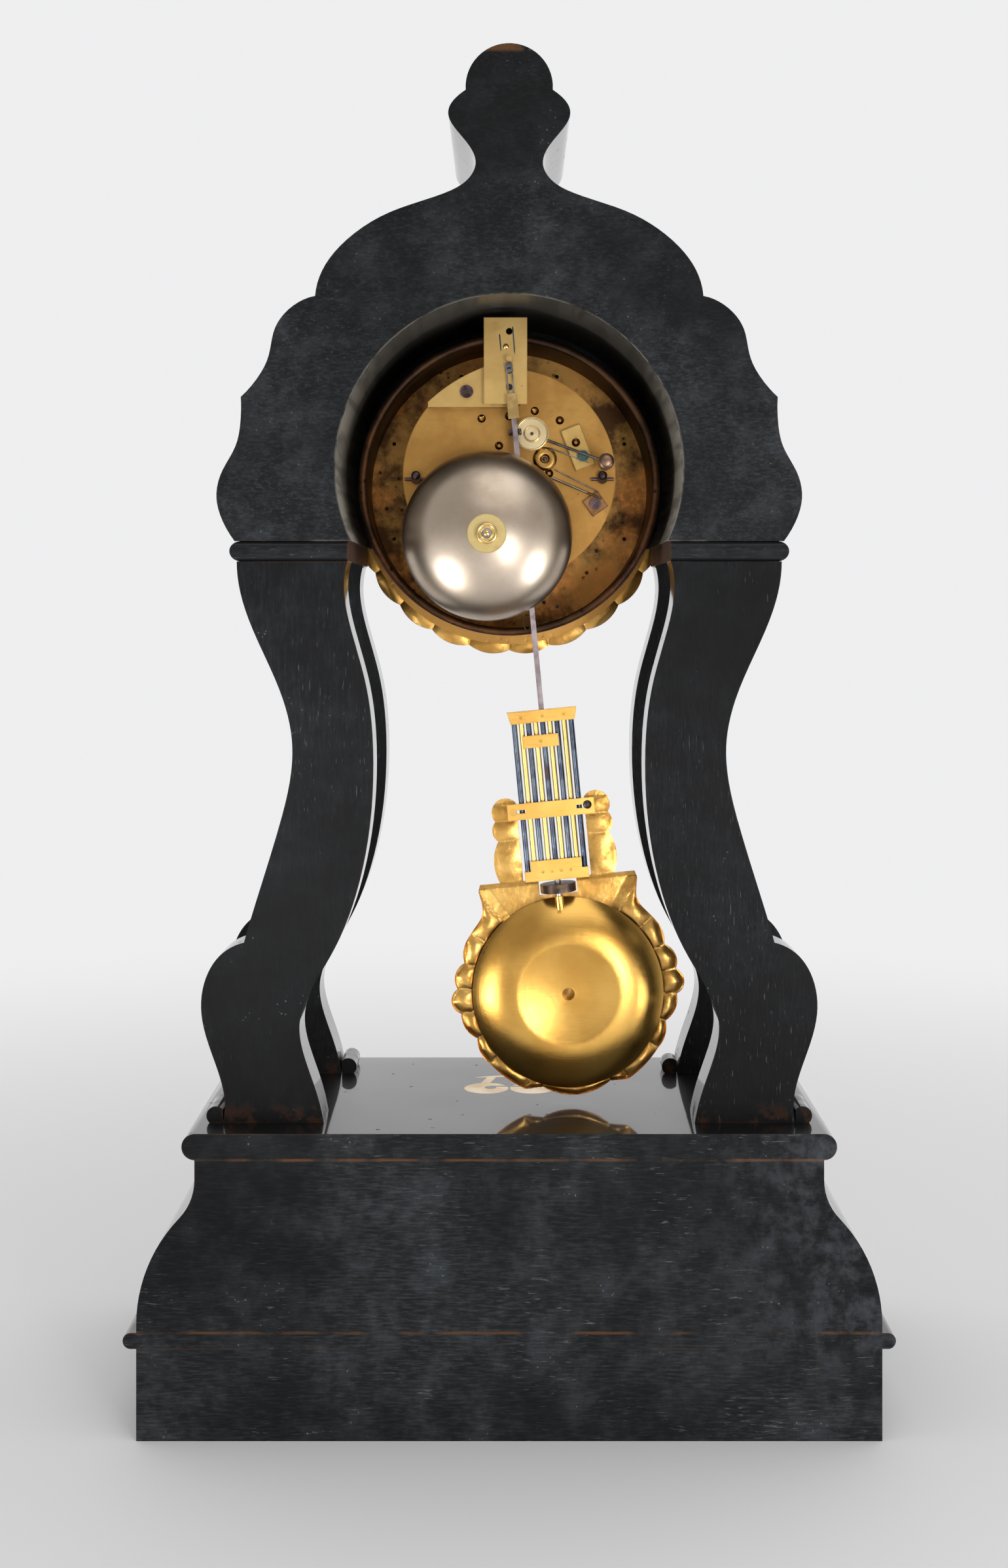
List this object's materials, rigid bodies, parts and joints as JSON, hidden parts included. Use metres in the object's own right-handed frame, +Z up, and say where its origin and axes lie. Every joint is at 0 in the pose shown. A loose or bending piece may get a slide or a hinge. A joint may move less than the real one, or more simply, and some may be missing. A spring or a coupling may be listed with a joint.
{
  "type": "portico mantel clock",
  "caption": "Ebonised portico clock with S-shaped columns, arched head, drum movement, bell strike and a gridiron pendulum with a round gilt bob, seen from behind.",
  "frame": {"origin": "middle of the base's underside, centred in width and depth", "axes": "+Z up; the dial looks along -Y and the pictured back along +Y; +X to the right of someone who faces the dial"},
  "size_m": [0.3524, 0.1858, 0.6427],
  "materials": {
    "ebonised_wood": "black polish, matte and worn at the back",
    "aged_brass": "brown patina",
    "brass": "satin",
    "gilt_brass": "polished gilt",
    "steel": "plain, dull",
    "blued_steel": "blued",
    "bell_metal": "silvery satin",
    "enamel": "glossy white enamel",
    "glass": "clear"
  },
  "bodies": {
    "case": {"base_plinth": "ebonised_wood", "base_moulding": "ebonised_wood", "base_ogee": "ebonised_wood", "base_top": "ebonised_wood", "rear_left_column": "ebonised_wood", "rear_right_column": "ebonised_wood", "front_left_column": "ebonised_wood", "front_right_column": "ebonised_wood", "foot_beads": "ebonised_wood", "capitals": "ebonised_wood", "head_block": "ebonised_wood", "head_front_panel": "ebonised_wood", "top_inlay": "brass", "drum": "aged_brass", "drum_ring": "aged_brass", "dial_plate": "aged_brass", "front_plate": "brass", "back_plate": "brass", "pillars": "brass", "plate_fasteners": "steel", "dial": "enamel", "hinge_pin": "steel", "suspension_bracket": "brass", "pallet_cock": "brass", "pin_wheel_potence": "brass", "bell": "bell_metal", "bell_post": "steel", "bell_nut": "steel", "hammer_spring": "steel"},
    "door": {"bezel": "gilt_brass", "bezel_glass": "glass"},
    "pendulum": {"suspension_spring": "steel", "pendulum_rod": "brass", "gridiron_bridges": "brass", "steel_rods": "steel", "brass_rods": "brass"},
    "regulator": {"rating_nut": "steel"},
    "bob": {"rating_stud": "steel", "bob_dish": "gilt_brass", "bob_surround": "gilt_brass", "bob_strap": "brass"},
    "escapement": {"crutch": "steel", "anchor": "steel"},
    "third": {"third_wheel": "brass"},
    "centre": {"centre_wheel": "brass", "cannon_pinion": "brass", "minute_hand": "blued_steel"},
    "escape": {"escape_wheel": "brass"},
    "second": {"going_second_wheel": "brass"},
    "going_power": {"going_barrel": "brass"},
    "minute": {"minute_wheel": "brass"},
    "hour": {"hour_wheel": "brass", "hour_hand": "blued_steel"},
    "striker": {"pin_wheel": "brass"},
    "strike_second": {"strike_second_wheel": "brass"},
    "strike_power": {"strike_barrel": "brass"},
    "governor": {"fly": "brass"},
    "going_key": {"going_winding_arbor": "steel"},
    "strike_key": {"strike_winding_arbor": "steel"},
    "hammer_lever": {"hammer": "steel"}
  },
  "joints": [
    {"name": "bezel_hinge", "type": "hinge", "parent": "case", "child": "door", "pos_m": [0.0869, -0.0586, 0.4395], "axis": [0, 0, 1], "range_deg": [0, 110]},
    {"name": "pendulum_swing", "type": "hinge", "parent": "case", "child": "pendulum", "pos_m": [0, 0.0384, 0.495], "axis": [0, 1, 0], "range_deg": [-9.5, 0.6]},
    {"name": "rating_nut_turn", "type": "hinge", "parent": "pendulum", "child": "regulator", "pos_m": [-0.02365, 0.0384, 0.24482], "axis": [-0.0941, 0, -0.9956], "range_deg": [-900, 900]},
    {"name": "bob_slide", "type": "slide", "parent": "pendulum", "child": "bob", "axis": [-0.0941, 0, -0.9956], "range_m": [-0.0014, 0.0014]},
    {"name": "crutch_swing", "type": "hinge", "parent": "case", "child": "escapement", "pos_m": [0, 0.0329, 0.495], "axis": [0, 1, 0], "range_deg": [-9.5, 0.6]},
    {"name": "third_turn", "type": "hinge", "parent": "case", "child": "third", "pos_m": [0.005, 0.0029, 0.459], "axis": [0, 1, 0], "continuous": true},
    {"name": "centre_turn", "type": "hinge", "parent": "case", "child": "centre", "pos_m": [0, 0.0029, 0.4395], "axis": [0, 1, 0], "continuous": true},
    {"name": "escape_turn", "type": "hinge", "parent": "case", "child": "escape", "pos_m": [0, 0.0029, 0.4735], "axis": [0, 1, 0], "continuous": true},
    {"name": "second_turn", "type": "hinge", "parent": "case", "child": "second", "pos_m": [0.02, 0.0029, 0.4435], "axis": [0, 1, 0], "continuous": true},
    {"name": "going_barrel_turn", "type": "hinge", "parent": "case", "child": "going_power", "pos_m": [0.0243, 0.0029, 0.424], "axis": [0, 1, 0], "continuous": true},
    {"name": "minute_wheel_turn", "type": "hinge", "parent": "case", "child": "minute", "pos_m": [0, -0.0251, 0.4235], "axis": [0, 1, 0], "continuous": true},
    {"name": "hour_turn", "type": "hinge", "parent": "case", "child": "hour", "pos_m": [0, -0.0281, 0.4395], "axis": [0, 1, 0], "continuous": true},
    {"name": "pin_wheel_turn", "type": "hinge", "parent": "case", "child": "striker", "pos_m": [-0.0325, 0.0029, 0.4604], "axis": [0, 1, 0], "continuous": true},
    {"name": "strike_second_turn", "type": "hinge", "parent": "case", "child": "strike_second", "pos_m": [-0.0195, 0.0029, 0.4455], "axis": [0, 1, 0], "continuous": true},
    {"name": "strike_barrel_turn", "type": "hinge", "parent": "case", "child": "strike_power", "pos_m": [-0.0243, 0.0029, 0.424], "axis": [0, 1, 0], "continuous": true},
    {"name": "fly_turn", "type": "hinge", "parent": "case", "child": "governor", "pos_m": [-0.0247, 0.0029, 0.4714], "axis": [0, 1, 0], "continuous": true},
    {"name": "going_winding", "type": "hinge", "parent": "case", "child": "going_key", "pos_m": [0.0243, -0.0321, 0.424], "axis": [0, 1, 0], "continuous": true},
    {"name": "strike_winding", "type": "hinge", "parent": "case", "child": "strike_key", "pos_m": [-0.0243, -0.0321, 0.424], "axis": [0, 1, 0], "continuous": true},
    {"name": "hammer_stroke", "type": "hinge", "parent": "case", "child": "hammer_lever", "pos_m": [-0.011, 0.0299, 0.4645], "axis": [0, -1, 0], "range_deg": [0, 34]}
  ],
  "couplings": [
    {"joint": "crutch_swing", "follows": "pendulum_swing", "ratio": 1},
    {"joint": "rating_nut_turn", "follows": "bob_slide", "rad_per_m": 8976},
    {"joint": "centre_turn", "follows": "third_turn", "ratio": -0.1},
    {"joint": "escape_turn", "follows": "third_turn", "ratio": -8},
    {"joint": "second_turn", "follows": "third_turn", "ratio": 0.02},
    {"joint": "going_barrel_turn", "follows": "third_turn", "ratio": -0.0033333},
    {"joint": "minute_wheel_turn", "follows": "third_turn", "ratio": 0.033333},
    {"joint": "hour_turn", "follows": "third_turn", "ratio": -0.0083333},
    {"joint": "strike_second_turn", "follows": "pin_wheel_turn", "ratio": -0.25},
    {"joint": "strike_barrel_turn", "follows": "pin_wheel_turn", "ratio": 0.041667},
    {"joint": "fly_turn", "follows": "pin_wheel_turn", "ratio": -8}
  ]
}
